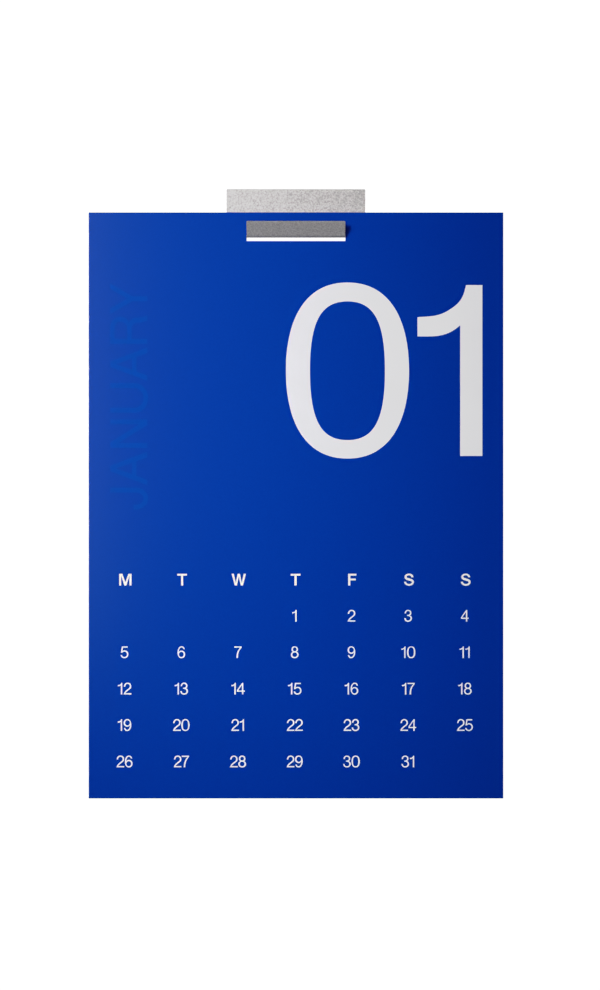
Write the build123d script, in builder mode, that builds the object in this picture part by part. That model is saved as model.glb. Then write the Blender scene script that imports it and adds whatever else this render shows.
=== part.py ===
from build123d import *

import os
from math import cos, radians, sin

# A wall calendar: twelve loose month sheets hung by their slots on one folded metal hanger.
# The frame is +X to the right of someone who faces the calendar, +Y into the wall and +Z up.
# The origin lies on the wall, midway between the hanger's two screw holes. Sizes are in mm.

# Sheets: one for each month, from the front of the calendar to the back, with how far each
# has slid along the tongue, as a share of its slot's play
slides = {
    "january": 0.0,
    "february": 0.5,
    "march": -0.6,
    "april": 0.3,
    "may": 0.8,
    "june": -0.2,
    "july": -0.7,
    "august": 0.6,
    "september": 0.1,
    "october": -0.4,
    "november": 0.7,
    "december": -0.1,
}
sheet_width = 297.0  # A3, upright
sheet_height = 420.0
sheet_thickness = 0.30
sheet_air = 0.02  # between one sheet and the next

# Slot: cut through the top of each sheet, and wider than the tongue that goes through it
slot_height = 4.3
slot_below_top = 16.2  # from the sheet's top edge to the slot's upper edge, which carries it
slot_play = 0.25  # at each end of the tongue

# Hanger: one blank of sheet metal, cut and then folded twice
metal = 1.5
bend_radius = 0.8  # on the inside of both folds
plate_width = 99.6
plate_above_sheets = 17.3
deburr = 0.15  # rounding of the cut edges
plate_corner_radius = 0.8
tongue_width = 70.5
tongue_length = 11.0  # the straight run beyond the second fold
tongue_lean = 36.0  # degrees out from upright
tongue_corner_radius = 0.7
shelf_play = 0.4  # in front of the stack

# Screw holes: countersunk from the front, hidden behind the sheets
screw_spacing = 60.0
screw_radius = 1.8
screw_head_radius = 3.0
screw_head_angle = 90.0
screws_below_sheet_top = 7.5

# Heights and depths that follow from those sizes
sheet_top = screws_below_sheet_top
shelf_top = sheet_top - slot_below_top
plate_bottom = shelf_top + bend_radius
plate_top = sheet_top + plate_above_sheets
sheet_spacing = sheet_thickness + sheet_air
stack_depth = sheet_spacing * len(slides) - sheet_air
shelf_flat = stack_depth + shelf_play
stack_front = -(metal + bend_radius + stack_depth)
fold_front = stack_front - shelf_play - bend_radius - metal
lean = Vector(0, -sin(radians(tongue_lean)), cos(radians(tongue_lean)))
slot_width = tongue_width + 2 * slot_play
slot_center = shelf_top - slot_height / 2

os.makedirs("parts", exist_ok=True)

# Hanger: a wide plate on the wall, folded into a shelf and a narrower tongue
with BuildPart() as hanger:
    with BuildSketch(Plane.XZ):
        with Locations((0, (plate_top + plate_bottom) / 2)):
            RectangleRounded(plate_width, plate_top - plate_bottom, plate_corner_radius)
    extrude(amount=metal)
    outline = hanger.edges().filter_by(Axis.Y, reverse=True)
    fillet(outline.filter_by_position(Axis.Z, plate_bottom + plate_corner_radius, plate_top), deburr)
    with Locations(Plane.XZ.offset(metal)):
        with GridLocations(screw_spacing, 0, 2, 1):
            CounterSinkHole(screw_radius, screw_head_radius, metal, screw_head_angle)
    # The inner line of the fold runs on from the plate's front, along the shelf and up the tongue
    with BuildSketch(Plane.YZ):
        with BuildLine():
            first_bend = JernArc((-metal, plate_bottom), (0, -1), bend_radius, -90)
            shelf = Line(first_bend @ 1, first_bend @ 1 + Vector(-shelf_flat, 0))
            second_bend = JernArc(shelf @ 1, shelf % 1, bend_radius, tongue_lean - 90)
            Line(second_bend @ 1, second_bend @ 1 + Vector(lean.Y, lean.Z) * tongue_length)
            offset(amount=metal, side=Side.LEFT)
        make_face()
    extrude(amount=tongue_width / 2, both=True)
    tongue_end = hanger.faces().sort_by(Axis.Y)[0]
    fillet(tongue_end.edges().filter_by(Axis.X, reverse=True), tongue_corner_radius)
    tongue_edges = hanger.edges().filter_by(lambda edge: edge.center().Y < fold_front)
    through_metal = Axis((0, 0, 0), (0, lean.Z, -lean.Y))
    fillet(tongue_edges.filter_by(through_metal, reverse=True), deburr)
hanger.part.label = "hanger"
export_step(hanger.part, "parts/hanger.step")

# Month sheets: plain slotted sheets, from the front one to the rear one
for number, (month, slide) in enumerate(slides.items()):
    front = stack_front + number * sheet_spacing
    center_x = slide * slot_play
    with BuildPart() as sheet:
        with BuildSketch(Plane.XZ.offset(-front)):
            with Locations((center_x, sheet_top - sheet_height / 2)):
                Rectangle(sheet_width, sheet_height)
            with Locations((center_x, slot_center)):
                Rectangle(slot_width, slot_height, mode=Mode.SUBTRACT)
        extrude(amount=-sheet_thickness)
    sheet.part.label = month + "_sheet"
    export_step(sheet.part, "parts/" + month + "_sheet.step")
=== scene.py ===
import math

import bmesh
import bpy
from mathutils import Matrix, Vector


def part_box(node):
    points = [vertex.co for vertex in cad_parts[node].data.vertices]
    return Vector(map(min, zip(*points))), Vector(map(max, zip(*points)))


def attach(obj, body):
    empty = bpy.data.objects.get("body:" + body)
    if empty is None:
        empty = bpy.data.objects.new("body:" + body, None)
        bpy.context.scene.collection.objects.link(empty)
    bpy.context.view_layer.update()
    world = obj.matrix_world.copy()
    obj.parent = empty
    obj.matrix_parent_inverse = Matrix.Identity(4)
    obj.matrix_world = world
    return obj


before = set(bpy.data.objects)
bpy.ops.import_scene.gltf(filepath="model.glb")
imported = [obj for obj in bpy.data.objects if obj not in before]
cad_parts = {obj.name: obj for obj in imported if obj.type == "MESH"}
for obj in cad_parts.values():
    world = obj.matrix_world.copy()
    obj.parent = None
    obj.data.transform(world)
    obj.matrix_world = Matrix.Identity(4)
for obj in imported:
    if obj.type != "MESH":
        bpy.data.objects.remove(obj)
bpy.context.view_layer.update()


# ---------------------------------------------------------------- hanger
# One blank of aluminium sheet, laser cut, folded into a wall plate, a shelf and a tongue,
# then glass-bead blasted and sealed. The blasting leaves a fine pale speckle.

mm = 0.001
hanger_grey = (0.445, 0.432, 0.432)
hanger_metallic = 0.6  # the sealed surface is less of a mirror than bare metal
hanger_roughness = 0.62
speckle_size = 1.0 * mm
speckle_contrast = 0.34
speckle_gloss = 0.06
speckle_depth = 0.1 * mm


def new_material(name):
    """A node material, with its node tree and its shader."""
    material = bpy.data.materials.new(name)
    material.use_nodes = True
    tree = material.node_tree
    tree.nodes.clear()
    shader = tree.nodes.new("ShaderNodeBsdfPrincipled")
    output = tree.nodes.new("ShaderNodeOutputMaterial")
    tree.links.new(shader.outputs["BSDF"], output.inputs["Surface"])
    return material, tree, shader


def noise(tree, size, detail=2.0, roughness=0.5):
    """Noise on the object's own coordinates, with features of about the size given."""
    place = tree.nodes.new("ShaderNodeTexCoord")
    texture = tree.nodes.new("ShaderNodeTexNoise")
    texture.inputs["Scale"].default_value = 1.0 / size
    texture.inputs["Detail"].default_value = detail
    texture.inputs["Roughness"].default_value = roughness
    tree.links.new(place.outputs["Object"], texture.inputs["Vector"])
    return texture.outputs["Fac"]


def spread(tree, value, low, high, from_low=0.3, from_high=0.7):
    """A value brought into a range of its own."""
    ramp = tree.nodes.new("ShaderNodeMapRange")
    ramp.inputs["From Min"].default_value = from_low
    ramp.inputs["From Max"].default_value = from_high
    ramp.inputs["To Min"].default_value = low
    ramp.inputs["To Max"].default_value = high
    tree.links.new(value, ramp.inputs["Value"])
    return ramp.outputs["Result"]


def shade(tree, color, value):
    """A colour multiplied by a value that varies over the surface."""
    scale = tree.nodes.new("ShaderNodeVectorMath")
    scale.operation = "SCALE"
    scale.inputs[0].default_value = color
    tree.links.new(value, scale.inputs["Scale"])
    return scale.outputs["Vector"]


def bump(tree, shader, value, depth):
    """Relief of the depth given, in metres."""
    relief = tree.nodes.new("ShaderNodeBump")
    relief.inputs["Distance"].default_value = depth
    tree.links.new(value, relief.inputs["Height"])
    tree.links.new(relief.outputs["Normal"], shader.inputs["Normal"])


blasted_metal, tree, shader = new_material("blasted_metal")
shader.inputs["Metallic"].default_value = hanger_metallic
grain = noise(tree, speckle_size, detail=3.0, roughness=0.7)
speckle = spread(tree, grain, 1 - speckle_contrast, 1 + speckle_contrast)
gloss = spread(tree, grain, hanger_roughness - speckle_gloss, hanger_roughness + speckle_gloss)
tree.links.new(shade(tree, hanger_grey, speckle), shader.inputs["Base Color"])
tree.links.new(gloss, shader.inputs["Roughness"])
bump(tree, shader, grain, speckle_depth)


def dress(node, material):
    """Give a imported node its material."""
    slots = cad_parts[node].data.materials
    slots.clear()
    slots.append(material)


dress("hanger", blasted_metal)


# ---------------------------------------------------------------- month sheets
# Twelve loose leaves of heavy uncoated paper, guillotined to A3 and punched with one slot.
# They hang on the shelf by the slot's upper edge. Nothing is printed on their backs.

paper_white = (0.81, 0.803, 0.845)
paper_roughness = 0.75
cloud_size = 30 * mm
cloud_contrast = 0.015
fibre_size = 0.5 * mm
fibre_contrast = 0.01
fibre_depth = 0.004 * mm
sheets = [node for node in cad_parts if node.endswith("_sheet")]


def paper(name, color):
    """Uncoated paper: faint clouds, and a fine tooth of fibres."""
    material, tree, shader = new_material(name)
    cloud = noise(tree, cloud_size, detail=2.0)
    fibre = noise(tree, fibre_size, detail=4.0, roughness=0.6)
    tone = tree.nodes.new("ShaderNodeMath")
    tone.operation = "MULTIPLY"
    tree.links.new(spread(tree, cloud, 1 - cloud_contrast, 1 + cloud_contrast), tone.inputs[0])
    tree.links.new(spread(tree, fibre, 1 - fibre_contrast, 1 + fibre_contrast), tone.inputs[1])
    tree.links.new(shade(tree, color, tone.outputs["Value"]), shader.inputs["Base Color"])
    shader.inputs["Roughness"].default_value = paper_roughness
    bump(tree, shader, fibre, fibre_depth)
    return material


plain_paper = paper("plain_paper", paper_white)
for node in sheets:
    dress(node, plain_paper)


# ---------------------------------------------------------------- January's blue ground
# The front of the first sheet is flooded with a satin blue ink to all four edges. The
# paper's cut edges and its back stay white.

ink_blue = (0.0, 0.038, 0.332)
ink_sheen = 0.14
ink_roughness = 0.2
ink_depth = 0.05 * mm
mottle_size = 1.3 * mm
mottle_contrast = 0.03
tooth_size = 0.6 * mm
tooth_gloss = 0.03
tooth_depth = 0.002 * mm
(sheet_left, sheet_front, sheet_bottom), (sheet_right, _, sheet_top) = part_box("january_sheet")


def printed(name, ink, sheen):
    """Paper with satin ink on the side that faces the room."""
    material, tree, shader = new_material(name)
    place = tree.nodes.new("ShaderNodeTexCoord")
    parts = tree.nodes.new("ShaderNodeSeparateXYZ")
    tree.links.new(place.outputs["Object"], parts.inputs["Vector"])
    on_front = tree.nodes.new("ShaderNodeMath")
    on_front.operation = "LESS_THAN"
    on_front.inputs[1].default_value = sheet_front + ink_depth
    tree.links.new(parts.outputs["Y"], on_front.inputs[0])
    mottle = noise(tree, mottle_size, detail=3.0, roughness=0.6)
    mottled = spread(tree, mottle, 1 - mottle_contrast, 1 + mottle_contrast)
    tooth = noise(tree, tooth_size, detail=4.0, roughness=0.6)
    gloss = spread(tree, tooth, ink_roughness - tooth_gloss, ink_roughness + tooth_gloss)
    color = tree.nodes.new("ShaderNodeMix")
    color.data_type = "RGBA"
    tree.links.new(on_front.outputs["Value"], color.inputs["Factor"])
    color.inputs["A"].default_value = (*paper_white, 1)
    tree.links.new(shade(tree, ink, mottled), color.inputs["B"])
    tree.links.new(color.outputs["Result"], shader.inputs["Base Color"])
    tree.links.new(gloss, shader.inputs["Roughness"])
    shader.inputs["Specular IOR Level"].default_value = sheen
    bump(tree, shader, tooth, tooth_depth)
    return material


blue_ground = printed("blue_ground", ink_blue, ink_sheen)
dress("january_sheet", blue_ground)


# ---------------------------------------------------------------- number of the month
# Two large figures of an even grotesque, in the sheet's right half. They are bare paper,
# left free of the blue when the sheet was printed, and keep the paper's own finish.

number_height = 122.4 * mm
number_margin = 4.5 * mm  # from the sheet's right edge, with the figure's own bearing
number_baseline = sheet_top - 174.5 * mm
number_steps = 36
print_depth = 0.1 * mm  # half of it is sunk in the sheet
weld = 0.0005 * mm
bulges = {"h": 0.57, "v": 0.57, "H": 0.70, "V": 0.72}  # how far a round corner's handles reach
slant_reach = 0.45  # and how far a slanting knot's do

# A character is its left bearing, width, right bearing and outlines. A capital is 100 high.
# A knot is x, y and its tangent: "h" level, "v" upright, degrees, or none at a sharp corner.
# Capital "H" and "V" make the round corners beside the knot squarer. A knot where two lines
# meet at an angle names the tangent before it and the one after it.
characters = {
    "0": (2.5, 72, 1.5, [
        [(0, 50, "v"), (36, 101.5, "H"), (72, 50, "v"), (36, -1.5, "H")],
        [(14, 50, "V"), (36, 9.2, "H"), (58, 50, "V"), (36, 90.5, "H")]]),
    "1": (3.5, 38, 8.5, [
        [(25, 0), (38, 0), (38, 100), (28.4, 100, None, 78), (20.3, 86.6, 35),
         (0, 81.2, 4, None), (0, 70, None, -1), (25, 76.5, 41, None)]]),
}


def reach(start, end, tangent):
    """Where a knot's handle lies on the side of its neighbour."""
    run = Vector(end) - Vector(start)
    if tangent is None:
        return Vector(start)
    if tangent in ("h", "H"):
        return Vector(start) + Vector((run.x * bulges[tangent], 0))
    if tangent in ("v", "V"):
        return Vector(start) + Vector((0, run.y * bulges[tangent]))
    along = Vector((math.cos(math.radians(tangent)), math.sin(math.radians(tangent))))
    return Vector(start) + along * along.dot(run) * slant_reach


def add_outline(curve, loop, left, baseline, unit):
    """One closed outline of a character, in metres."""
    spline = curve.splines.new("BEZIER")
    spline.bezier_points.add(len(loop) - 1)
    spline.use_cyclic_u = True
    for number, knot in enumerate(loop):
        here, before, after = knot[:2], loop[number - 1][:2], loop[(number + 1) % len(loop)][:2]
        tangents = knot[2:] or (None,)
        point = spline.bezier_points[number]
        point.handle_left_type = "FREE"
        point.handle_right_type = "FREE"
        for name, place in (
            ("co", Vector(here)),
            ("handle_left", reach(here, before, tangents[0])),
            ("handle_right", reach(here, after, tangents[-1])),
        ):
            setattr(point, name, (left + place.x * unit, baseline + place.y * unit, 0))


def text_width(text, height):
    """The run of a word or a number, with the bearings at both ends."""
    return sum(sum(characters[letter][:3]) for letter in text) * height / 100


def set_text(curve, text, left, baseline, height):
    """A word or a number, its first character's bearing starting at the left given."""
    unit = height / 100
    pen = left
    for letter in text:
        bearing_left, width, bearing_right, outlines = characters[letter]
        for loop in outlines:
            add_outline(curve, loop, pen + bearing_left * unit, baseline, unit)
        pen += (bearing_left + width + bearing_right) * unit


def new_print(name, steps, thinning=0.0):
    """A flat curve that takes the outlines of one print, each bend in the steps given."""
    curve = bpy.data.curves.new(name, "CURVE")
    curve.dimensions = "2D"
    curve.fill_mode = "BOTH"
    curve.extrude = print_depth / 2
    curve.resolution_u = steps
    curve.offset = -thinning
    return curve


def finish_print(curve, material, turn=0.0):
    """Stand the flat print up on the sheet's front as a closed mesh."""
    flat = bpy.data.objects.new(curve.name, curve)
    bpy.context.scene.collection.objects.link(flat)
    bpy.context.view_layer.update()
    evaluated = flat.evaluated_get(bpy.context.evaluated_depsgraph_get())
    mesh = bpy.data.meshes.new_from_object(evaluated)
    name = curve.name
    bpy.data.objects.remove(flat)
    bpy.data.curves.remove(curve)
    turned = Matrix.Rotation(math.radians(turn), 4, "Z")
    upright = Matrix.Rotation(math.radians(90), 4, "X")
    mesh.transform(Matrix.Translation((0, sheet_front, 0)) @ upright @ turned)
    form = bmesh.new()
    form.from_mesh(mesh)
    bmesh.ops.remove_doubles(form, verts=form.verts, dist=weld)
    bmesh.ops.recalc_face_normals(form, faces=form.faces)
    form.to_mesh(mesh)
    form.free()
    mesh.name = name
    mesh.materials.clear()
    mesh.materials.append(material)
    piece = bpy.data.objects.new(name, mesh)
    bpy.context.scene.collection.objects.link(piece)
    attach(piece, "root")


month_number = new_print("month_number", number_steps)
number_left = sheet_right - number_margin - text_width("01", number_height)
set_text(month_number, "01", number_left, number_baseline, number_height)
finish_print(month_number, plain_paper)


# ---------------------------------------------------------------- name of the month
# The month's name in capitals, which reads upwards beside the left edge. It is a second blue
# ink, a little lighter than the ground's and with less sheen.

name_height = 26.6 * mm
name_baseline = sheet_left + 42.0 * mm
name_start = sheet_top - 212.9 * mm
name_blue = (0.0, 0.050, 0.354)
name_sheen = 0.08
name_steps = 16

characters.update({
    "J": (0, 59, 8, [
        [(59, 100), (59, 31, None, "v"), (29.5, -2, "h"), (0, 33, "v", None), (0, 37), (12.5, 37),
         (12.5, 33, None, "v"), (29.5, 10, "h"), (45.5, 31, "v", None), (45.5, 100)]]),
    "A": (-1.5, 90, -1.5, [
        [(0, 0), (37.5, 100), (52.5, 100), (90, 0), (75, 0), (64.5, 29.5), (25.5, 29.5), (14.5, 0)],
        [(30, 41), (60, 41), (45, 85)]]),
    "N": (12, 76.5, 9.5, [
        [(0, 0), (0, 100), (15, 100), (63.5, 22), (63.5, 100), (76.5, 100), (76.5, 0), (61.5, 0),
         (13, 78), (13, 0)]]),
    "U": (8.5, 80, 7.5, [
        [(0, 100), (0, 35, None, "v"), (40, -2, "h"), (80, 35, "v", None), (80, 100), (66.5, 100),
         (66.5, 36, None, "v"), (40, 10, "h"), (13.5, 36, "v", None), (13.5, 100)]]),
    "R": (11, 77, 2, [
        [(0, 0), (0, 100), (44, 100, None, "h"), (73, 72.5, "v"), (58, 49, 30, 150), (71, 26, "v"),
         (77.5, 0, 110, None), (62.5, 0, None, 98), (57.5, 24, "v"), (41, 42.5, "h", None),
         (13.5, 42.5), (13.5, 0)],
        [(13.5, 54), (41.5, 54, None, "h"), (59.5, 71.5, "v"), (42, 88.5, "h", None),
         (13.5, 88.5)]]),
    "Y": (1, 83.5, 0, [
        [(35, 0), (35, 41), (0, 100), (16, 100), (42, 54), (68, 100), (83.5, 100), (48.5, 41),
         (48.5, 0)]]),
})

name_ink = printed("name_ink", name_blue, name_sheen)
month_name = new_print("month_name", name_steps)
set_text(month_name, "JANUARY", name_start, -name_baseline, name_height)
finish_print(month_name, name_ink, turn=90)


# ---------------------------------------------------------------- days and dates
# Seven columns of dates under the days' bold initials, for a month that starts on a Thursday.
# They are bare paper too. Small and alone in the blue, they read as brighter whites than the
# large figures do: the initials as a warm one, the dates as a cold one.

column_pitch = 40.65 * mm
row_pitch = 26.1 * mm
middle_column = (sheet_left + sheet_right) / 2 - 0.3 * mm
initial_height = 8.5 * mm
initial_baseline = sheet_top - 267.4 * mm
date_height = 8.42 * mm
date_shift = 0.6 * mm  # to the left of the initials' centres
first_baseline = sheet_top - 293.25 * mm
thinning = 0.08 * mm  # small print is cut a little lighter
small_steps = 8
initial_white = (0.93, 0.90, 0.84)
date_white = (0.91, 0.92, 0.97)
initials = "MTWTFSS"
days_in_month = 31
first_column = 3

figure_six = [
    [(0, 47, "v"), (35.5, 101.5, "h"), (63.5, 75, 100, None), (51.5, 75, None, 100),
     (35.5, 90.7, "h"), (12.7, 53, "v", 48), (36, 64, "h"), (66.5, 31.5, "v"), (34, -1.5, "h")],
    [(13.5, 30.5, "v"), (34, 53, "h"), (53, 31, "v"), (34, 9.5, "h")],
]
figure_nine = [
    [(66.5 - knot[0], 100 - knot[1], *knot[2:]) for knot in loop] for loop in figure_six
]
characters.update({
    "2": (1.5, 67.5, 1.5, [
        [(0, 0), (67.5, 0), (67.5, 11.5), (16.5, 11.5, None, 50), (43, 36, 38), (67, 71, "v"),
         (35, 101.5, "h"), (3, 66, "v", None), (15.5, 66, None, "v"), (34.5, 90.5, "h"),
         (53.5, 71, "v"), (36, 46, 38), (0, 0, 72, None)]]),
    "3": (2, 66, 2.5, [
        [(0, 30), (0, 29, None, "v"), (32, -1.5, "h"), (66, 28, "v"), (50, 53.5, 155, 35),
         (61.5, 75, "v"), (32, 101.5, "h"), (3, 70, "v", None), (15, 70, None, "v"),
         (32, 90.5, "h"), (48.5, 74.5, "v"), (31, 58.5, "h", None), (24.5, 58.5), (24.5, 47.5),
         (31, 47.5, None, "h"), (52.5, 28.5, "v"), (32, 9.5, "h"), (13, 30, "v", None)]]),
    "4": (1, 67.5, 1, [
        [(42, 0), (54.5, 0), (54.5, 23.5), (67.5, 23.5), (67.5, 34.5), (54.5, 34.5), (54.5, 100),
         (44, 100), (0, 37), (0, 23.5), (42, 23.5)],
        [(11, 34.5), (42, 80), (42, 34.5)]]),
    "5": (2.5, 66.5, 2.5, [
        [(10.5, 100), (60.5, 100), (60.5, 88.5), (20.5, 88.5), (16, 60, None, 38), (35.5, 66, "h"),
         (66.5, 33, "v"), (31.5, -1.5, "h"), (0, 26, "v", None), (12.8, 26, None, "v"),
         (31.5, 9.5, "h"), (53.5, 32.5, "v"), (33, 55, "h"), (14.5, 45.5, 48, None), (2, 45.5)]]),
    "6": (3.5, 66.5, 2.5, figure_six),
    "7": (0, 63, 0, [
        [(0, 100), (63, 100), (63, 90, None, 50), (31, 0, 88, None), (17.5, 0, None, 88),
         (49.5, 88.5, 48, None), (0, 88.5)]]),
    "8": (3, 66.5, 2.5, [
        [(33.25, -1.5, "h"), (0, 28, "v"), (16.5, 53.5, 30, 150), (5, 75, "v"), (33.25, 101.5, "h"),
         (61.5, 75, "v"), (50, 53.5, 30, 150), (66.5, 28, "v")],
        [(18, 74, "v"), (33.25, 58.5, "h"), (48.5, 74, "v"), (33.25, 90.7, "h")],
        [(13.5, 28.5, "v"), (33.25, 9.5, "h"), (53, 28.5, "v"), (33.25, 47.8, "h")]]),
    "9": (3, 66.5, 3, figure_nine),
    "M": (0, 105, 0, [
        [(0, 0), (0, 100), (27, 100), (52.5, 30), (78, 100), (105, 100), (105, 0), (87, 0),
         (87, 79), (61, 0), (44, 0), (18, 79), (18, 0)]]),
    "T": (0, 83, 0, [
        [(32, 0), (32, 83.5), (0, 83.5), (0, 100), (83, 100), (83, 83.5), (51, 83.5), (51, 0)]]),
    "W": (0, 122, 0, [
        [(0, 100), (19.5, 100), (36, 27), (51.5, 100), (70.5, 100), (86, 27), (102.5, 100),
         (122, 100), (96, 0), (77, 0), (61, 74), (45, 0), (26, 0)]]),
    "F": (0, 70.5, 0, [
        [(0, 0), (0, 100), (70.5, 100), (70.5, 83.5), (19.5, 83.5), (19.5, 59.5), (65, 59.5),
         (65, 43.5), (19.5, 43.5), (19.5, 0)]]),
    "S": (0, 84, 0, [
        [(80, 69, None, "v"), (42.5, 102, "h"), (3.5, 72, "v"), (36, 43, 165), (65.5, 28, "v"),
         (43.5, 14, "h"), (18.5, 33, "v", None), (0, 33, None, "v"), (43, -2, "h"), (84, 30.5, "v"),
         (51, 59.5, 165), (22.5, 73.5, "v"), (42, 86, "h"), (61.5, 69, "v", None)]]),
})


def column(number):
    """The centre of a column, counted from 0."""
    return middle_column + (number - len(initials) // 2) * column_pitch


warm_white = paper("warm_white", initial_white)
cold_white = paper("cold_white", date_white)

weekdays = new_print("weekdays", small_steps, thinning)
for number, initial in enumerate(initials):
    left = column(number) - text_width(initial, initial_height) / 2
    set_text(weekdays, initial, left, initial_baseline, initial_height)
finish_print(weekdays, warm_white)

dates = new_print("dates", small_steps, thinning)
for day in range(days_in_month):
    week, weekday = divmod(first_column + day, len(initials))
    text = str(day + 1)
    left = column(weekday) - text_width(text, date_height) / 2 - date_shift
    set_text(dates, text, left, first_baseline - week * row_pitch, date_height)
finish_print(dates, cold_white)


# ---------------------------------------------------------------- floor
# A plain pale floor, well below the calendar. It glows as softly as a floor does in bright
# even light, and its rim fades into the room.

floor_level = sheet_bottom - 0.75
floor_radius = 2.6
floor_grey = 0.5
floor_roughness = 0.9
glow_middle = 0.72
glow_rim = 1.25
glow_start = 0.35  # of the radius
glow_bounced = 0.11

form = bmesh.new()
bmesh.ops.create_circle(form, cap_ends=True, segments=96, radius=floor_radius)
floor_mesh = bpy.data.meshes.new("floor")
form.to_mesh(floor_mesh)
form.free()
floor = bpy.data.objects.new("floor", floor_mesh)
floor.location = (0, 0, floor_level)
bpy.context.scene.collection.objects.link(floor)
floor_paint, tree, shader = new_material("floor_paint")
shader.inputs["Base Color"].default_value = (floor_grey, floor_grey, floor_grey, 1)
shader.inputs["Roughness"].default_value = floor_roughness
shader.inputs["Emission Color"].default_value = (1, 1, 1, 1)
place = tree.nodes.new("ShaderNodeTexCoord")
far = tree.nodes.new("ShaderNodeVectorMath")
far.operation = "LENGTH"
tree.links.new(place.outputs["Object"], far.inputs[0])
seen_glow = spread(
    tree, far.outputs["Value"], glow_middle, glow_rim, glow_start * floor_radius, floor_radius
)
path = tree.nodes.new("ShaderNodeLightPath")
glow = tree.nodes.new("ShaderNodeMix")
tree.links.new(path.outputs["Is Camera Ray"], glow.inputs["Factor"])
glow.inputs["A"].default_value = glow_bounced
tree.links.new(seen_glow, glow.inputs["B"])
tree.links.new(glow.outputs["Result"], shader.inputs["Emission Strength"])
floor_mesh.materials.append(floor_paint)


# ---------------------------------------------------------------- light
# A large soft lamp stands to the left of the calendar and a little above it. A narrow card
# near the camera puts a sheen on the left margin, and a third lamp lights the back.

def soft_lamp(name, place, target, width, height, power, beam=180):
    """An area lamp aimed at a point, in metres, watts and degrees."""
    lamp = bpy.data.lights.new(name, "AREA")
    lamp.shape = "RECTANGLE"
    lamp.size = width
    lamp.size_y = height
    lamp.energy = power
    lamp.spread = math.radians(beam)
    stand = bpy.data.objects.new(name, lamp)
    stand.location = place
    stand.rotation_euler = (Vector(target) - Vector(place)).to_track_quat("-Z", "Y").to_euler()
    bpy.context.scene.collection.objects.link(stand)


soft_lamp(
    "key", place=(-0.69, -1.18, 0.29), target=(-0.085, 0, -0.12),
    width=0.36, height=0.8, power=1.46, beam=32,
)
soft_lamp(
    "card", place=(-0.42, -1.68, 0.0), target=(-0.12, 0, -0.1),
    width=0.12, height=0.8, power=2.6,
)
soft_lamp(
    "back", place=(0.9, 1.4, 0.7), target=(0, 0, -0.2),
    width=1.0, height=1.0, power=32,
)

# The room is seen as plain white, but adds only a little light of its own.
room_seen = 1.25
room_fill = 0.07

room = bpy.data.worlds.new("room")
room.use_nodes = True
bpy.context.scene.world = room
tree = room.node_tree
tree.nodes.clear()
seen = tree.nodes.new("ShaderNodeBackground")
seen.inputs["Color"].default_value = (1, 1, 1, 1)
seen.inputs["Strength"].default_value = room_seen
fill = tree.nodes.new("ShaderNodeBackground")
fill.inputs["Color"].default_value = (1, 1, 1, 1)
fill.inputs["Strength"].default_value = room_fill
path = tree.nodes.new("ShaderNodeLightPath")
choose = tree.nodes.new("ShaderNodeMixShader")
output = tree.nodes.new("ShaderNodeOutputWorld")
tree.links.new(path.outputs["Is Camera Ray"], choose.inputs["Fac"])
tree.links.new(fill.outputs["Background"], choose.inputs[1])
tree.links.new(seen.outputs["Background"], choose.inputs[2])
tree.links.new(choose.outputs["Shader"], output.inputs["Surface"])

# The view's tones deepen a little near black and roll off towards white, as film does.
brightest = 2
film = ((0.02, 0.012), (0.06, 0.06), (0.40, 0.40), (0.63, 0.66), (0.84, 0.735), (1.2, 1.0))

view = bpy.context.scene.view_settings
view.view_transform = "Standard"
view.use_curve_mapping = True
tones = view.curve_mapping
tones.white_level = (brightest, brightest, brightest)
for bright, shown in film:
    tones.curves[3].points.new(bright / brightest, shown)  # the curve of all three colours
tones.update()


# ---------------------------------------------------------------- camera
# It faces the sheet squarely from about 1.7 metres, through a long lens. It is about level
# with the middle of the whole calendar, a little above the middle of the sheet.

frame_height = 709.4 * mm  # how much of the sheet's plane the view takes in, upright
focal_length = 85
sensor = 36
camera_right = 2.9 * mm
camera_up = 7.5 * mm

camera = bpy.data.cameras.new("camera")
camera.sensor_fit = "AUTO"
camera.sensor_width = sensor
camera.lens = focal_length
eye = bpy.data.objects.new("camera", camera)
eye.location = (
    (sheet_left + sheet_right) / 2 + camera_right,
    sheet_front - frame_height * focal_length / sensor,
    (sheet_top + sheet_bottom) / 2 + camera_up,
)
eye.rotation_euler = (math.radians(90), 0, 0)
bpy.context.scene.collection.objects.link(eye)
bpy.context.scene.camera = eye
